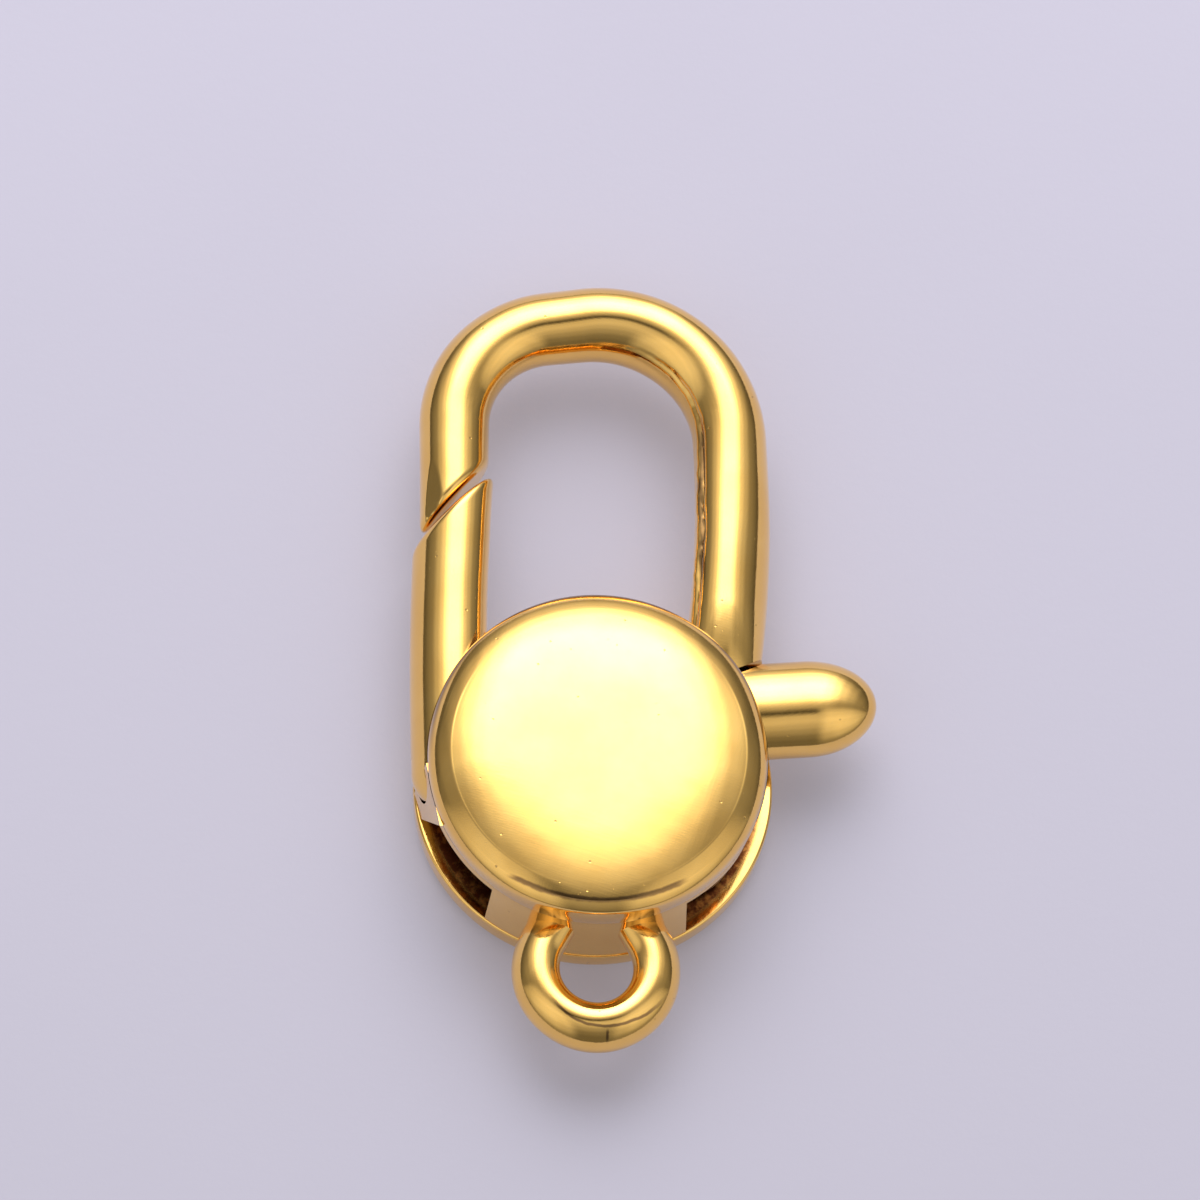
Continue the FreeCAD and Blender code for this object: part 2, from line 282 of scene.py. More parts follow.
def wobble(points, size, amount, seed):
    """Small smooth unevenness of a polished casting: moves points along a noise field."""
    out = []
    shift = Vector((seed * 7.3, seed * 3.1, seed * 5.7))
    for p in points:
        n = noise.noise_vector(Vector(p) / size + shift)
        out.append(p + amount * np.array(n))
    return np.array(out)


# Housing

def arc_points(cx, cz, radius, start, end, count):
    return [
        (cx + radius * math.cos(math.radians(a)), cz + radius * math.sin(math.radians(a)))
        for a in np.linspace(start, end, count)
    ]


def lathe(profile, segments=224, ring=False):
    """Solid of revolution. The profile's first and last points lie on the axis, unless it is a ring."""
    if ring:
        rows = [
            [(r * math.cos(t), r * math.sin(t), z) for r, z in profile]
            for t in np.linspace(0, 2 * math.pi, segments, endpoint=False)
        ]
        return [p for row in rows for p in row], ring_quads(segments, len(profile), closed_rows=True)
    inner = profile[1:-1]
    rings = [
        [(r * math.cos(t), r * math.sin(t), z) for t in np.linspace(0, 2 * math.pi, segments, endpoint=False)]
        for r, z in inner
    ]
    points, faces = tube(rings)
    points[-2] = (0.0, 0.0, profile[0][1])
    points[-1] = (0.0, 0.0, profile[-1][1])
    return points, faces


def stepped(a, b, count):
    return [tuple(np.array(a) + (np.array(b) - np.array(a)) * t) for t in np.linspace(0, 1, count)[1:-1]]


def back_plate():
    r, e, l = BACK_RADIUS, BACK_ROUND, BACK_LIP
    profile = [(PIN_SEAT_RADIUS, 0.0)] + stepped((PIN_SEAT_RADIUS, 0), (r - e, 0), 8)
    profile += arc_points(r - e, e, e, -90, 0, 12)
    profile += arc_points(r - l, SLOT_LOW - l, l, 0, 90, 7)
    profile += stepped((r - l, SLOT_LOW), (PIN_SEAT_RADIUS, SLOT_LOW), 8) + [(PIN_SEAT_RADIUS, SLOT_LOW)]
    return mesh_object("back_plate", *lathe(profile, ring=True))


# Slope of the front disc's pillow, as pairs of the share of its radius and degrees: to its sides, to the
# arch and to the bail
PILLOW_SIDE = ((0.00, 0.0), (0.35, 2.0), (0.50, 4.0), (0.62, 7.5), (0.72, 12.5), (0.80, 17.0), (0.857, 21.0),
               (0.864, 15.0), (0.873, 31.0), (0.93, 37.0), (0.968, 50.0), (0.988, 70.0), (1.0, 88.0))
PILLOW_HIGH = ((0.00, 0.0), (0.35, 2.0), (0.50, 4.0), (0.62, 7.5), (0.72, 12.5), (0.80, 18.0), (0.85, 23.0),
               (0.89, 28.0), (0.93, 33.0), (0.972, 40.0), (0.990, 58.0), (1.0, 88.0))
PILLOW_LOW = ((0.00, 0.0), (0.40, 0.8), (0.62, 2.2), (0.74, 4.0), (0.80, 5.8), (0.86, 8.2), (0.915, 11.2),
              (0.938, 13.0), (0.946, 33.0), (0.985, 41.0), (0.994, 60.0), (1.0, 88.0))


# Share by which the disc's edge reaches further out on the side of the bail
LOW_BULGE = 0.022
# The arch's side of the pillow takes over from its sides by the sine of the angle round the disc
HIGH_FROM, HIGH_OVER = 0.2, 0.5


def front_disc(segments=220):
    """Pillowed disc, hand polished: its rounded rim is narrower on the side of the bail."""
    shares = np.concatenate([np.linspace(0.02, 0.84, 34), np.linspace(0.845, 0.999, 54)])
    side, up, down = [
        np.radians(np.interp(shares, [s for s, _ in table], [a for _, a in table]))
        for table in (PILLOW_SIDE, PILLOW_HIGH, PILLOW_LOW)
    ]
    low_rim = SLOT_HIGH + DISC_LIP
    below = [(PIN_SEAT_RADIUS, PIN_TOP), (PIN_SEAT_RADIUS, SLOT_HIGH)]
    below += stepped((PIN_SEAT_RADIUS, SLOT_HIGH), (DISC_RADIUS - DISC_LIP, SLOT_HIGH), 8)
    below += arc_points(DISC_RADIUS - DISC_LIP, low_rim, DISC_LIP, -90, 0, 6)
    columns = []
    for turn in np.linspace(0, 2 * math.pi, segments, endpoint=False):
        lower = max(0.0, -math.sin(turn)) ** 3
        upper = min(1.0, max(0.0, math.sin(turn) - HIGH_FROM) / HIGH_OVER)
        upper = upper * upper * (3 - 2 * upper)
        slopes = np.tan(side + (down - side) * lower + (up - side) * upper)
        steps = np.diff(shares, prepend=0.0) * DISC_RADIUS
        drop = np.cumsum((slopes + np.concatenate([[0.0], slopes[:-1]])) / 2 * steps)
        profile = below + [(s * DISC_RADIUS, DISC_TOP - d) for s, d in zip(shares, drop)][::-1]
        profile = [(r * (1 + LOW_BULGE * lower * (r / DISC_RADIUS) ** 4), z) for r, z in profile]
        columns.append([(r * math.cos(turn), r * math.sin(turn), z) for r, z in profile])
    rings = np.array(columns).transpose(1, 0, 2)
    return mesh_object("front_disc", *tube(rings))


def wall_outside(z):
    """Radius of the walls' outside, which flares from the front disc's rim to the back plate."""
    share = (SLOT_HIGH - z) / (SLOT_HIGH - SLOT_LOW)
    return WALL_RADIUS + (WALL_FOOT_RADIUS - WALL_RADIUS) * share


def wall(inner, start, end, low=WALL_LOW, count=60, fade=0.0):
    """Upright wall along a ring round the pivot. Over its last fade degrees the lower edge rises."""
    angles = np.linspace(start, end, count)
    share = np.clip((angles - end + fade) / fade, 0.0, 1.0) if fade else np.zeros(count)
    feet = low + (WALL_HIGH - RIM_FADE_GAP - low) * share * share
    rings = []
    for heights in (feet, np.full(count, WALL_HIGH)):
        outline = [direction(a) * wall_outside(z) + np.array((0, 0, z)) for a, z in zip(angles, heights)]
        outline += [direction(a) * inner + np.array((0, 0, z)) for a, z in zip(angles[::-1], heights[::-1])]
        rings.append(np.array(outline))
    points, faces = [tuple(p) for ring in rings for p in ring], []
    n = 2 * count
    for j in range(n):
        k = (j + 1) % n
        faces.append((j, k, n + k, n + j))
    for j in range(count - 1):
        m = n - 1 - j
        faces.append((j, m, m - 1, j + 1))
        faces.append((n + j, n + j + 1, n + m - 1, n + m))
    return mesh_object("wall", points, faces)


def prism(name, outline, low, high):
    n = len(outline)
    points = [(x, y, z) for z in (low, high) for x, y in outline]
    faces = [(j, (j + 1) % n, n + (j + 1) % n, n + j) for j in range(n)]
    faces += [tuple(range(n))[::-1], tuple(range(n, 2 * n))]
    return mesh_object(name, points, faces)


def gate_post():
    """Short wall below the gate's foot, longer at the front disc than at the back plate."""
    along, outward_way = direction(POST_ANGLE + 90), direction(POST_ANGLE)
    start = outward_way * (WALL_RADIUS - POST_DEPTH)
    slant = POST_SLANT / (SLOT_HIGH - SLOT_LOW)
    shape = (
        (-POST_LENGTH, WALL_LOW),
        (-slant * (SLOT_LOW - WALL_LOW), WALL_LOW),
        (slant * (WALL_HIGH - SLOT_LOW), WALL_HIGH),
        (-POST_LENGTH, WALL_HIGH),
    )
    points = []
    for depth in (0.0, POST_DEPTH):
        for a, z in shape:
            flare = (wall_outside(z) - WALL_RADIUS) if depth else 0.0
            out = outward_way * (depth + flare - POST_SINK)
            points.append(start + out + along * a + np.array((0, 0, z)))
    faces = [(0, 1, 2, 3), (7, 6, 5, 4)] + [(j, 4 + j, 4 + (j + 1) % 4, (j + 1) % 4) for j in range(4)]
    return mesh_object("gate_post", points, faces)


# Hook and bail

def hook():
    """Hook with a flat ground on its tip, cut away at the foot for the lever's web and thumb."""
    path = Path(HOOK_START, HOOK_HEADING, HOOK_BENDS, HOOK_LAST_RUN)
    total = path.length

    def radius_at(s):
        return LIMB_RADIUS + (TIP_RADIUS - LIMB_RADIUS) * s / total

    turn = math.radians(HOOK_CUT_TURN)
    straight_from = total - HOOK_LAST_RUN + HOOK_STRAIGHT_TIP
    rings = [
        section(path, s, radius_at(s), hook_shape, HOOK_ROUND) for s in np.arange(0, straight_from, 0.13)
    ]
    rings += cut_end(
        path, radius_at, straight_from, HOOK_CUT_POINT, (math.sin(turn), -math.cos(turn)),
        HOOK_CUT_SHARP, HOOK_CUT_BLUNT, hook_shape, HOOK_ROUND,
    )
    points, faces = tube(rings)
    points = wobble(points, size=2.6, amount=0.02, seed=1.0)
    points[:, 1] = np.where(
        (points[:, 0] > 0) & (points[:, 1] < HOOK_LOW_FOOT_Y), HOOK_LOW_FOOT_Y, points[:, 1]
    )
    tilt = math.radians(TIP_FLAT_TILT)
    flat = np.array((-math.sin(tilt), -TIP_FLAT_FALL, math.cos(tilt)))
    flat /= np.linalg.norm(flat)
    top = np.array((*TIP_FLAT_POINT, MIDDLE_Z)) + flat * (TIP_RADIUS + TIP_FLAT_LIFT)
    beyond = (points - top) @ flat
    near = (points[:, 0] < 0) & (points[:, 1] < TIP_FLAT_END_Y) & (beyond > 0)
    points[near] -= np.outer(beyond[near], flat)
    return combined(
        "hook", [mesh_object("bar", points, faces), housing_room(), thumb(HOOK_FOOT_GAP)], "DIFFERENCE"
    )


def housing_room():
    """Room that the lever's web has between the right limb's foot and the pivot."""
    reach = WEB_REACH + HOOK_FOOT_GAP
    end = math.degrees(math.asin(HOOK_FOOT_Y / reach))
    outline = [tuple(direction(a)[:2] * reach) for a in np.linspace(0, end, 40)]
    return prism("housing_room", outline + [(0.0, HOOK_FOOT_Y), (0.0, 0.0)], 0.0, 2 * MIDDLE_Z)


def bell(value, middle, width):
    return math.exp(-((value - middle) / width) ** 2)


def hook_shape(s, a, b):
    """Section of the hook: it leans out over the arch and in on the limb, as the rubbed casting does.

    The limb's top falls away to its foot. A mould seam runs along the inner side from foot to arch.
    """
    lean = sum(amount * bell(s, middle, width) for amount, middle, width in HOOK_LEANS)
    grow = 1 + lean * a * b
    angle = math.degrees(math.atan2(b, a))
    uneven = 4 * noise.noise(Vector((s * 0.9, 0.0, 3.0))) + 2.5 * noise.noise(Vector((s * 4.0, 0.0, 9.0)))
    seam = bell(s, SEAM_MIDDLE, SEAM_SPREAD)
    depth, turn, width = SEAM_GROOVE
    grow -= depth * seam * bell(angle, turn + uneven, width)
    height, turn, width = SEAM_RIDGE
    grow += height * seam * bell(angle, turn + uneven, width) * (1 + noise.noise(Vector((s * 2.6, 5.0, 0.0))))
    share = max(0.0, (FOOT_FALL_FROM - s) / FOOT_FALL_OVER)
    fall = 1 - FOOT_FALL * share ** FOOT_FALL_POWER if b > 0 else 1.0
    return a * grow, b * grow * fall


def bail_shape(s, a, b):
    grow = 1 + BAIL_LEAN * a * b
    return a * grow, b * grow


def bail():
    path = Path(BAIL_START, BAIL_HEADING, BAIL_BENDS, BAIL_LAST_RUN)
    rings = [section(path, s, BAIL_RADIUS, bail_shape) for s in np.linspace(0, path.length, 120)]
    points, faces = tube(rings)
    return mesh_object("bail", wobble(points, size=1.7, amount=0.015, seed=2.0), faces)


def sphere(name, centre, radius, count=48):
    profile = [(0.0, -radius)] + arc_points(0, 0, radius, -88, 88, count) + [(0.0, radius)]
    points, faces = lathe(profile, 96)
    return mesh_object(name, np.array(points) + np.array(centre), faces)


def clasp_body():
    foot = wall(*FOOT_WALL)
    limb = wall(*LIMB_WALL)
    foot_room = sphere("foot_room", (*GATE_FOOT, MIDDLE_Z), GATE_FOOT_ROOM)
    post = combined("post", [gate_post(), foot_room], "DIFFERENCE")
    rims = [wall(*LEFT_RIM, low=DEEP_RIM_Z), wall(*RIGHT_RIM, low=DEEP_RIM_Z, fade=RIGHT_RIM_FADE)]
    body = combined("Clasp_body", [back_plate(), front_disc(), foot, limb, post, hook(), bail()] + rims)
    to_metres(body)
    return body


# Lever

def gate_arm():
    path = through(GATE_FOOT, GATE_BOW, GATE_HEAD)
    turn = math.radians(GATE_CUT_TURN)

    def radius_at(s):
        return GATE_RADIUS

    def shape(s, a, b):
        grow = 1 + GATE_LEAN * a * b
        return a * grow, b * grow

    rings = []
    for lift in np.radians(np.linspace(88, 0, 16)[:-1]):
        rings.append(section(path, -GATE_RADIUS * math.sin(lift), GATE_RADIUS * math.cos(lift), shape))
    rings += [section(path, s, GATE_RADIUS, shape) for s in np.arange(0, GATE_STRAIGHT, 0.12)]
    rings += cut_end(
        path, radius_at, GATE_STRAIGHT, GATE_CUT_POINT, (-math.sin(turn), math.cos(turn)),
        GATE_CUT_SHARP, GATE_CUT_BLUNT, shape,
    )
    points, faces = tube(rings)
    return mesh_object("gate_arm", wobble(points, size=2.4, amount=0.018, seed=3.0), faces)


def thumb(room=0.0):
    """Oval bar with an ellipsoid end, from inside the housing to the tip, or the room that it needs."""
    wide, tall = THUMB_HALF_WIDTH + room, THUMB_HALF_HEIGHT + room
    straight = THUMB_REACH - THUMB_END
    lengths = list(np.linspace(-THUMB_TAIL, straight, 30)[:-1])
    lengths += [straight + THUMB_END * math.sin(t) for t in np.linspace(0, math.radians(88.5), 44)]
    along, side = direction(THUMB_TILT), direction(THUMB_TILT + 90)
    root = np.array((*THUMB_ROOT, MIDDLE_Z))
    rings = []
    for x in lengths:
        share = 1.0 if x < straight else math.sqrt(max(0.0, 1 - ((x - straight) / THUMB_END) ** 2))
        ring = []
        for j in range(ROUND):
            angle = 2 * math.pi * j / ROUND
            across = side * (wide * share * math.cos(angle))
            ring.append(root + along * x + across + np.array((0, 0, tall * share * math.sin(angle))))
        rings.append(ring)
    points, faces = tube(rings)
    return mesh_object("thumb", wobble(points, size=2.2, amount=0.018, seed=4.0), faces)


def disc_outline(radius, count):
    return [tuple(direction(a)[:2] * radius) for a in np.linspace(0, 360, count, endpoint=False)]


def trigger_lever():
    low, high = MIDDLE_Z - HUB_HALF_HEIGHT, MIDDLE_Z + HUB_HALF_HEIGHT
    hub = prism("hub", disc_outline(HUB_RADIUS, 120), low, high)
    gate_web = prism("gate_web", GATE_WEB, low + WEB_STEP, high - WEB_STEP)
    thumb_web = prism("thumb_web", THUMB_WEB, low + 2 * WEB_STEP, high - 2 * WEB_STEP)
    pin_room = prism("pin_room", disc_outline(PIN_ROOM_RADIUS, 64), low - 1, high + 1)
    whole = combined("lever_solid", [hub, gate_web, thumb_web, gate_arm(), thumb()])
    lever = combined("Trigger_lever", [whole, pin_room], "DIFFERENCE")
    to_metres(lever)
    return lever


# Materials

class Nodes:
    """Short way to write a node tree."""

    def __init__(self, tree):
        self.tree = tree
        tree.nodes.clear()

    def add(self, kind, inputs=None, **settings):
        node = self.tree.nodes.new(kind)
        for key, value in settings.items():
            setattr(node, key, value)
        for key, value in (inputs or {}).items():
            socket = node.inputs[key]
            if isinstance(value, bpy.types.NodeSocket):
                self.tree.links.new(value, socket)
            else:
                socket.default_value = value
        return node

    def math(self, operation, a, b=0.0, clamp=False):
        return self.add("ShaderNodeMath", {0: a, 1: b}, operation=operation, use_clamp=clamp).outputs[0]

    def product(self, first, *others):
        for other in others:
            first = self.math("MULTIPLY", first, other)
        return first

    def most(self, first, *others):
        for other in others:
            first = self.math("MAXIMUM", first, other)
        return first

    def distance(self, x, y):
        """Distance from an upright line, by the distances along X and Y."""
        return self.math("SQRT", self.math("ADD", self.math("POWER", x, 2.0), self.math("POWER", y, 2.0)))

    def noise(self, vector, scale, detail=2.0, rough=0.5):
        return self.add(
            "ShaderNodeTexNoise", {"Vector": vector, "Scale": scale, "Detail": detail, "Roughness": rough}
        ).outputs["Fac"]

    def ramp(self, value, stops, interpolation="LINEAR"):
        node = self.add("ShaderNodeValToRGB", {"Fac": value})
        node.color_ramp.interpolation = interpolation
        elements = node.color_ramp.elements
        while len(elements) < len(stops):
            elements.new(0.5)
        for element, (place, colour) in zip(elements, stops):
            element.position = place
            element.color = (*colour, 1.0) if isinstance(colour, tuple) else (colour, colour, colour, 1.0)
        return node.outputs["Color"]

    def range(self, value, low, high, out_low=0.0, out_high=1.0, smooth=True):
        node = self.add(
            "ShaderNodeMapRange",
            {"Value": value, "From Min": low, "From Max": high, "To Min": out_low, "To Max": out_high},
        )
        node.interpolation_type = "SMOOTHSTEP" if smooth else "LINEAR"
        return node.outputs["Result"]

    def mix(self, factor, a, b, mode="MIX"):
        node = self.add("ShaderNodeMix", data_type="RGBA", blend_type=mode)
        for index, value in ((0, factor), (6, a), (7, b)):
            socket = node.inputs[index]
            if isinstance(value, bpy.types.NodeSocket):
                self.tree.links.new(value, socket)
            elif index == 0:
                socket.default_value = value
            else:
                socket.default_value = (*value, 1.0)
        return node.outputs[2]

    def stretched(self, vector, scale, turn=(0.0, 0.0, 0.0)):
        return self.add("ShaderNodeMapping", {"Vector": vector, "Scale": scale, "Rotation": turn}).outputs[0]


def new_material(name):
    material = bpy.data.materials.new(name)
    material.use_nodes = True
    return material, Nodes(material.node_tree)


GOLD_DEEP, GOLD_PALE = (0.93, 0.555, 0.135), (0.97, 0.60, 0.160)
TARNISH_SHADE_DARK, TARNISH_SHADE_LIGHT = (0.16, 0.045, 0.016), (0.62, 0.27, 0.07)
DIRT, SEAM_SHADOW, PAINTED_LINE_AND_MARK_TONE = (0.22, 0.10, 0.03), (0.10, 0.04, 0.015), (0.13, 0.055, 0.018)

# Places in metres where the colour changes: the dull, partly shaded inside, painted shadow and reflection
# lines, and a mark
INSIDE_FROM, INSIDE_TO = 0.00532, 0.00512
INSIDE_LOW, INSIDE_HIGH = 0.00108, 0.00368
DISC_SEAM_Z, DISC_SEAM_Y = 0.00367, -0.0032
RIM_LINE_RADIUS, RIM_LINE_WIDTH = 0.00501, 0.00011
RIM_LINE_X, RIM_LINE_Y, RIM_LINE_Z = (-0.0031, 0.0029), (-0.0041, -0.0043), (0.0036, 0.0040)
DISC_EDGE_RADIUS, DISC_EDGE_Y, DISC_EDGE_Z = (0.00506, 0.00518), (-0.0006, 0.0016), (0.0036, 0.0038)
LIMB_LINE_X, LIMB_LINE_WIDTH = 0.00316, 0.00012
LIMB_LINE_Y, LIMB_LINE_Z = (0.0056, 0.0118), (0.0022, 0.0025)
HOLE_X, HOLE_Y = 0.00003, -0.00642
BAIL_LINE_RADIUS, BAIL_LINE_GROWTH, BAIL_LINE_WIDTH = 0.00203, 0.00024, 0.00006
BAIL_LINE_TURN, BAIL_LINE_Z = (-1.05, 1.25), (0.0026, 0.0028)
BAIL_MARK_X, BAIL_MARK_Y = (0.00029, 0.00041), (-0.00892, -0.00850)


def gold(name, rough=0.10, seed=0.0):
    """Polished plating with a dull, dark and reddish finish inside the housing, where no polish reaches; the
    dark colour there is partly painted shade. Painted shadow and reflection lines lie at given places.
    """
    material, n = new_material(name)
    where = n.add("ShaderNodeTexCoord").outputs["Object"]
    place = n.stretched(where, (1000.0, 1000.0, 1000.0), (0.0, 0.0, seed))
    split = n.add("ShaderNodeSeparateXYZ", {"Vector": where})
    x, y, z = split.outputs["X"], split.outputs["Y"], split.outputs["Z"]
    across = n.distance(x, y)
    within = n.range(across, INSIDE_TO, INSIDE_FROM, 1.0, 0.0)
    over_floor = n.range(z, INSIDE_LOW, INSIDE_LOW + 0.00002)
    under_disc = n.range(z, INSIDE_HIGH - 0.00002, INSIDE_HIGH, 1.0, 0.0)
    inside_dull_and_shaded = n.product(within, over_floor, under_disc)
    cloud = n.noise(place, 0.55, 3.0)
    fine = n.noise(place, 7.0, 4.0, 0.6)
    tone = n.mix(n.range(cloud, 0.3, 0.7), GOLD_DEEP, GOLD_PALE)
    pits = n.add("ShaderNodeTexVoronoi", {"Vector": place, "Scale": 1.5}).outputs["Distance"]
    pit = n.range(pits, 0.03, 0.07, 1.0, 0.0)
    dust = n.add("ShaderNodeTexVoronoi", {"Vector": place, "Scale": 4.6}).outputs["Distance"]
    speck = n.math("MULTIPLY", n.range(dust, 0.02, 0.06, 1.0, 0.0), n.range(cloud, 0.52, 0.62))
    tone = n.mix(n.math("MULTIPLY", n.math("MAXIMUM", pit, speck), 0.45), tone, DIRT)
    scratch_a = n.noise(n.stretched(place, (0.4, 14.0, 14.0), (0.0, 0.0, 0.5)), 1.6, 2.0)
    scratch_b = n.noise(n.stretched(place, (13.0, 0.5, 13.0), (0.3, 0.0, -0.4)), 1.5, 2.0)
    scratches = n.math("ADD", scratch_a, scratch_b)
    roughness = n.math("ADD", rough, n.math("MULTIPLY", n.math("SUBTRACT", fine, 0.5), 0.10))
    roughness = n.math("ADD", roughness, n.math("MULTIPLY", pit, 0.25))
    roughness = n.math("ADD", roughness, n.math("MULTIPLY", inside_dull_and_shaded, 0.24), clamp=True)
    # Inside the housing: a dull, tarnished finish whose dark colour is partly painted shade of the recess
    tarnish_and_shade = n.mix(n.range(n.noise(place, 3.0, 4.0, 0.65), 0.42, 0.66), TARNISH_SHADE_DARK, TARNISH_SHADE_LIGHT)
    tone = n.mix(inside_dull_and_shaded, tone, tarnish_and_shade)
    # Painted shadow: a thin dark line just under the disc's rim, where it overhangs the walls
    off_seam = n.math("ABSOLUTE", n.math("SUBTRACT", z, DISC_SEAM_Z))
    seam = n.product(
        n.range(off_seam, 0.00003, 0.00008, 1.0, 0.0), n.range(y, DISC_SEAM_Y, DISC_SEAM_Y + 0.0002), 0.75
    )
    tone = n.mix(seam, tone, SEAM_SHADOW)
    # Painted dark reflection lines and painted shade, with a short dark mark, by place
    tone = n.mix(painted_lines_and_mark(n, x, y, z, across, place), tone, PAINTED_LINE_AND_MARK_TONE)
    wave = n.add("ShaderNodeBump", {"Strength": 1.0, "Distance": 0.000016,
                                    "Height": n.noise(place, 0.42, 2.0)}).outputs[0]
    lines = n.add("ShaderNodeBump", {"Strength": 0.5, "Distance": 0.0000012, "Height": scratches,
                                     "Normal": wave}).outputs[0]
    holes = n.add("ShaderNodeBump", {"Strength": 0.6, "Distance": 0.00001,
                                     "Height": n.math("SUBTRACT", 1.0, n.math("MAXIMUM", pit, speck)),
                                     "Normal": lines}).outputs[0]
    shader = n.add("ShaderNodeBsdfPrincipled", {
        "Base Color": tone, "Metallic": 1.0, "Roughness": roughness, "Normal": holes,
        "Coat Weight": n.math("SUBTRACT", 0.65, n.math("MULTIPLY", inside_dull_and_shaded, 0.6)), "Coat Roughness": 0.06,
        "Coat Normal": wave,
    })
    n.add("ShaderNodeOutputMaterial", {"Surface": shader.outputs[0]})
    return material


def painted_lines_and_mark(n, x, y, z, across, place):
    """Share of painted dark lines and a mark, by place: painted dark reflection lines on the disc's lower rim
    and on the bail, painted shade along the limb, a painted dark reflection on the disc's upper edge, and a
    short dark mark across the bail.

    The rim's line lies in the pillow's crease and the limb's follows the mould seam. The rest is colour only.
    """
    ragged = n.range(n.noise(place, 1.3, 3.0), 0.3, 0.7, -0.00003, 0.00003, smooth=False)

    def line(distance, width):
        return n.range(n.math("ABSOLUTE", n.math("ADD", distance, ragged)), width * 0.35, width, 1.0, 0.0)

    def between(value, ends, soft):
        low, high = ends
        return n.product(n.range(value, low, low + soft), n.range(value, high - soft, high, 1.0, 0.0))

    # Painted dark reflection line in the pillow's crease on the disc's lower rim
    rim = n.product(
        line(n.math("SUBTRACT", across, RIM_LINE_RADIUS), RIM_LINE_WIDTH),
        n.range(z, *RIM_LINE_Z),
        between(x, RIM_LINE_X, 0.0006),
        n.range(y, *RIM_LINE_Y),
    )
    # Painted dark reflection on the disc's upper edge
    edge = n.product(
        n.range(across, *DISC_EDGE_RADIUS, 0.0, 0.95), n.range(z, *DISC_EDGE_Z), n.range(y, *DISC_EDGE_Y)
    )
    unsteady = n.math("ADD", x, n.math("MULTIPLY", n.noise(place, 0.7, 2.0), -0.0002))
    # Painted shade along the groove of the limb's mould seam
    limb = n.product(
        line(n.math("SUBTRACT", unsteady, LIMB_LINE_X), LIMB_LINE_WIDTH),
        between(y, LIMB_LINE_Y, 0.0012),
        n.range(z, *LIMB_LINE_Z),
    )
    from_x, from_y = n.math("SUBTRACT", x, HOLE_X), n.math("SUBTRACT", y, HOLE_Y)
    turn = n.math("ADD", n.math("ARCTAN2", from_y, from_x), math.pi / 2)
    radius = n.math("ADD", BAIL_LINE_RADIUS, n.math("MULTIPLY", turn, BAIL_LINE_GROWTH))
    # Painted dark reflection line along the bail
    crease = n.product(
        line(n.math("SUBTRACT", n.distance(from_x, from_y), radius), BAIL_LINE_WIDTH),
        between(turn, BAIL_LINE_TURN, 0.5),
        n.range(z, *BAIL_LINE_Z),
    )
    mark = n.product(between(x, BAIL_MARK_X, 0.00004), between(y, BAIL_MARK_Y, 0.00015))
    return n.math("MULTIPLY", n.most(rim, crease, mark, limb, edge), 0.8)


def steel(name):
    material, n = new_material(name)
    where = n.add("ShaderNodeTexCoord").outputs["Object"]
    place = n.stretched(where, (1000.0, 1000.0, 1000.0))
    grain = n.noise(n.stretched(place, (2.0, 2.0, 20.0)), 2.0, 3.0)
    tone = n.mix(n.range(n.noise(place, 1.4, 4.0), 0.35, 0.65), (0.30, 0.26, 0.22), (0.42, 0.36, 0.30))
    bump = n.add("ShaderNodeBump", {"Strength": 0.5, "Distance": 0.000004, "Height": grain}).outputs[0]
    shader = n.add("ShaderNodeBsdfPrincipled", {
        "Base Color": tone, "Metallic": 1.0, "Normal": bump,
        "Roughness": n.range(grain, 0.2, 0.8, 0.28, 0.45),
    })
    n.add("ShaderNodeOutputMaterial", {"Surface": shader.outputs[0]})
    return material


# Stage

FLOOR_HALF, FLOOR_REACH = 0.6, (-0.016, 0.028)
FLOOR_NEAR_SHADED, FLOOR_FAR_LIT, FLOOR_CLOUD = (0.345, 0.337, 0.418), (0.430, 0.418, 0.528), (0.385, 0.375, 0.47)
FLOOR_GLOW = (0.96, 0.90, 1.0, 1.0)


def floor():
    """Pale paper with painted light: lighter away from the camera, where the light is nearer. The glow stands
    for light from the room.
    """
    material, n = new_material("floor_paper")
    where = n.add("ShaderNodeTexCoord").outputs["Object"]
    split = n.add("ShaderNodeSeparateXYZ", {"Vector": where})
    along = n.range(split.outputs["Y"], *FLOOR_REACH, smooth=False)
    grain = n.noise(where, 2200.0, 3.0, 0.6)
    cloud = n.noise(where, 60.0, 2.0)
    # Painted light: the paper is lighter away from the camera, where the light is nearer
    tone = n.mix(along, FLOOR_NEAR_SHADED, FLOOR_FAR_LIT)
    tone = n.mix(n.range(cloud, 0.3, 0.7, 0.0, 0.25), tone, FLOOR_CLOUD)
    bump = n.add("ShaderNodeBump", {"Strength": 0.25, "Distance": 0.00003, "Height": grain}).outputs[0]
    shader = n.add("ShaderNodeBsdfPrincipled", {
        "Base Color": tone, "Roughness": 0.85, "Specular IOR Level": 0.2, "Normal": bump,
        "Emission Color": FLOOR_GLOW, "Emission Strength": 0.17,
    })
    n.add("ShaderNodeOutputMaterial", {"Surface": shader.outputs[0]})
    mesh = bpy.data.meshes.new("Floor")
    corners = [(a * FLOOR_HALF, b * FLOOR_HALF, 0.0) for a, b in ((-1, -1), (1, -1), (1, 1), (-1, 1))]
    mesh.from_pydata(corners, [], [(0, 1, 2, 3)])
    plane = bpy.data.objects.new("Floor", mesh)
    plane.data.materials.append(material)
    bpy.context.scene.collection.objects.link(plane)
    plane.location.z = -0.00001


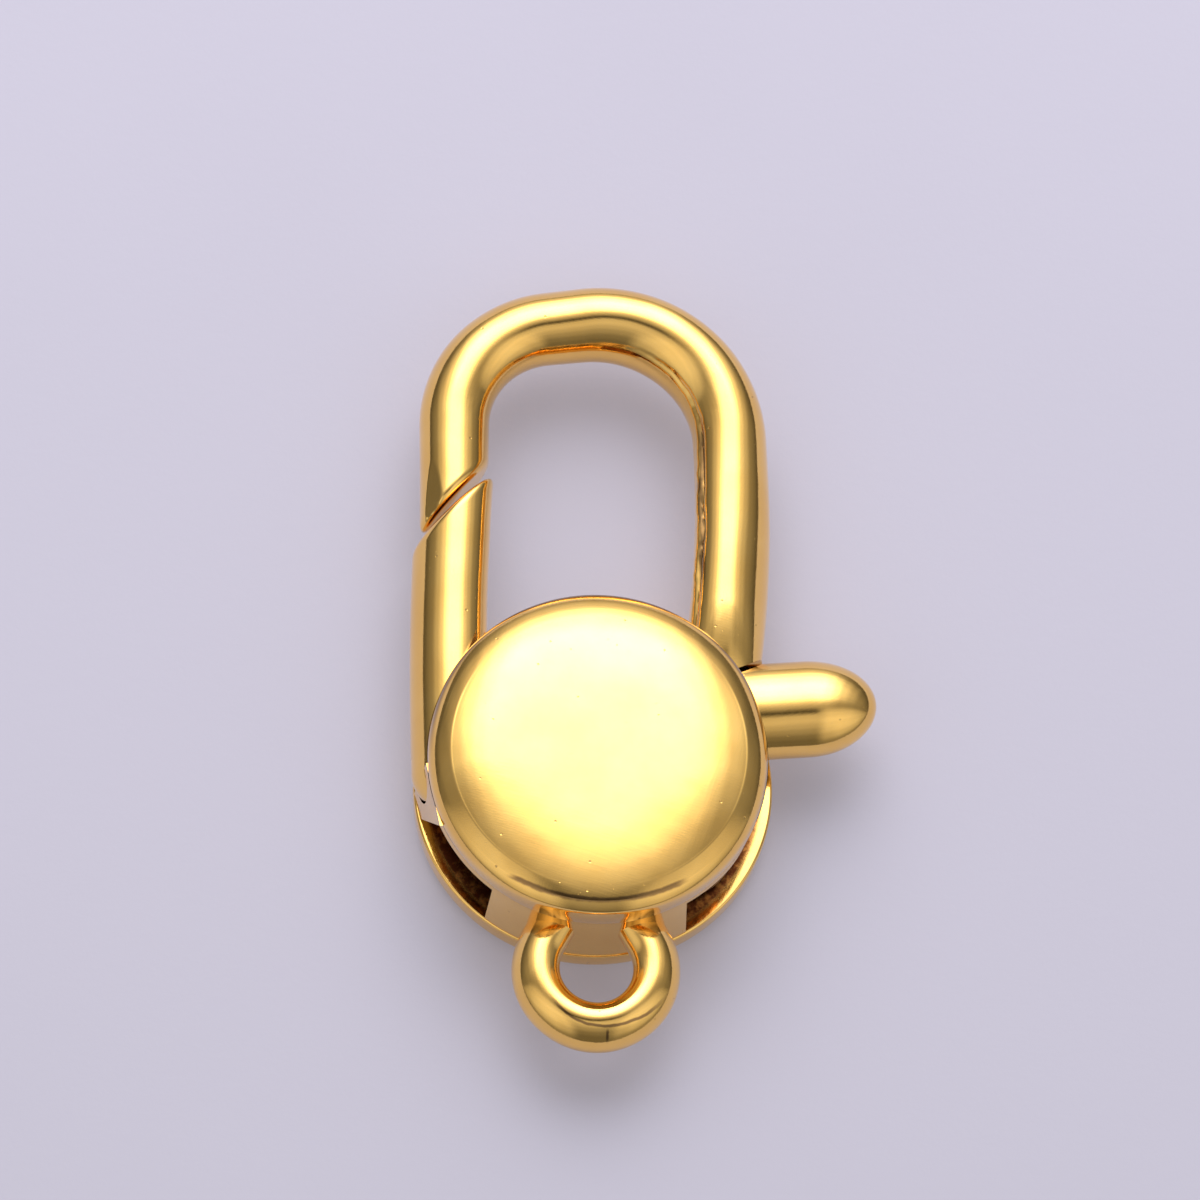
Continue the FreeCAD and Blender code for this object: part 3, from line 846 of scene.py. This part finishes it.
# Light by direction, as pairs of degrees and strength. PANEL, FILL, GAP_SIDES and SIDES go by the angle from
# straight up towards the arch, and each WIDTH by the angle to either side. A dark gap at 5 degrees towards
# the bail divides the large panel from the fill.
PANEL = ((-6.0, 0.0), (-3.0, 0.15), (3.0, 0.48), (9.0, 0.85), (14.0, 1.70), (19.0, 3.3), (30.0, 4.6),
         (42.0, 5.0), (58.0, 3.6), (68.0, 2.2), (78.0, 0.8), (90.0, 0.3))
PANEL_WIDTH = ((0.0, 1.0), (13.0, 0.97), (20.0, 0.74), (26.0, 0.44), (33.0, 0.22), (45.0, 0.11),
               (58.0, 0.045), (80.0, 0.02))
FILL = ((-90.0, 0.06), (-75.0, 0.10), (-60.0, 0.18), (-45.0, 0.34), (-35.0, 0.50), (-23.0, 0.68),
        (-14.0, 0.62), (-10.0, 0.30), (-7.5, 0.10), (-5.0, 0.0))
FILL_WIDTH = ((0.0, 1.0), (25.0, 0.95), (45.0, 0.6), (65.0, 0.3), (85.0, 0.15))
GAP_SIDES = ((-14.0, 0.0), (-9.0, 0.40), (-5.0, 0.42), (0.0, 0.15), (3.0, 0.0))
SIDES = ((-85.0, 0.15), (-65.0, 0.50), (-45.0, 0.66), (-25.0, 0.52), (-8.0, 0.36), (8.0, 0.22), (28.0, 0.08),
         (45.0, 0.0))
SIDES_WIDTH = ((13.0, 0.0), (26.0, 0.65), (40.0, 1.0), (60.0, 0.95), (75.0, 0.6), (90.0, 0.2))


def lights():
    world = bpy.data.worlds.new("studio")
    bpy.context.scene.world = world
    world.use_nodes = True
    n = Nodes(world.node_tree)
    way = n.add("ShaderNodeTexCoord").outputs["Generated"]
    split = n.add("ShaderNodeSeparateXYZ", {"Vector": way})
    x, y, z = split.outputs["X"], split.outputs["Y"], split.outputs["Z"]

    def table(value, stops, low, high):
        """Strength read off a short table of angles in degrees."""
        top = max(strength for _, strength in stops)
        share = n.range(value, low, high, smooth=False)
        places = [((angle - low) / (high - low), strength / top) for angle, strength in stops]
        ramp = n.ramp(share, places, "EASE")
        return n.math("MULTIPLY", ramp, top)

    toward_arch = n.math("MULTIPLY", n.math("ARCTAN2", y, z), 180 / math.pi)
    aside = n.math("MULTIPLY", n.math("ABSOLUTE", n.math("ARCSINE", x)), 180 / math.pi)
    panel = table(toward_arch, PANEL, -10.0, 100.0)
    width = table(aside, PANEL_WIDTH, 0.0, 90.0)
    fill = table(toward_arch, FILL, -100.0, 0.0)
    fill_width = table(aside, FILL_WIDTH, 0.0, 90.0)
    total = n.math("ADD", n.math("MULTIPLY", panel, width), n.math("MULTIPLY", fill, fill_width))
    sides = n.math("MULTIPLY", table(toward_arch, SIDES, -100.0, 60.0), table(aside, SIDES_WIDTH, 0.0, 90.0))
    total = n.math("ADD", total, sides)
    beside = n.math("MULTIPLY", n.range(aside, 9.0, 20.0), fill_width)
    total = n.math("ADD", total, n.math("MULTIPLY", table(toward_arch, GAP_SIDES, -20.0, 10.0), beside))
    room = n.range(z, -0.1, 0.5, 0.10, 0.04)
    total = n.math("ADD", total, room)
    background = n.add("ShaderNodeBackground", {"Color": (1.0, 0.985, 0.97, 1.0), "Strength": total})
    n.add("ShaderNodeOutputWorld", {"Surface": background.outputs[0]})


# Camera

RIGHT = Vector((0.9983, 0.0, 0.0576)).normalized()
UP = Vector((-0.0197, 0.940, 0.342)).normalized()
CAMERA_WAY = RIGHT.cross(UP).normalized()
CAMERA_DISTANCE, VIEW_WIDTH, SENSOR = 0.700, 0.03715, 36.0
CAMERA_TARGET = Vector((0.000149, 0.00570, 0.00238))


def camera():
    data = bpy.data.cameras.new("Camera")
    cam = bpy.data.objects.new("Camera", data)
    bpy.context.scene.collection.objects.link(cam)
    up = CAMERA_WAY.cross(RIGHT).normalized()
    turn = Matrix((RIGHT, up, CAMERA_WAY)).transposed().to_4x4()
    cam.matrix_world = Matrix.Translation(CAMERA_TARGET + CAMERA_WAY * CAMERA_DISTANCE) @ turn
    data.sensor_width = SENSOR
    data.lens = SENSOR * CAMERA_DISTANCE / VIEW_WIDTH
    data.clip_start, data.clip_end = 0.01, 10.0
    bpy.context.scene.camera = cam


# Put together

def dress(thing, material):
    thing.data.materials.clear()
    thing.data.materials.append(material)


body = clasp_body()
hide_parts("clasp_body")
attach(body, "body")
dress(body, gold("plated_body_gold", 0.10, 0.3))

lever = trigger_lever()
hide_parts("trigger_lever")
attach(lever, "lever")
dress(lever, gold("plated_lever_gold", 0.10, 1.1))

dress(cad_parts["pivot_pin"], gold("plated_pin_gold", 0.16, 2.0))
dress(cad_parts["return_spring"], steel("spring_steel"))

floor()
lights()
camera()

view = bpy.context.scene.view_settings
view.view_transform = "Standard"
view.look = "None"
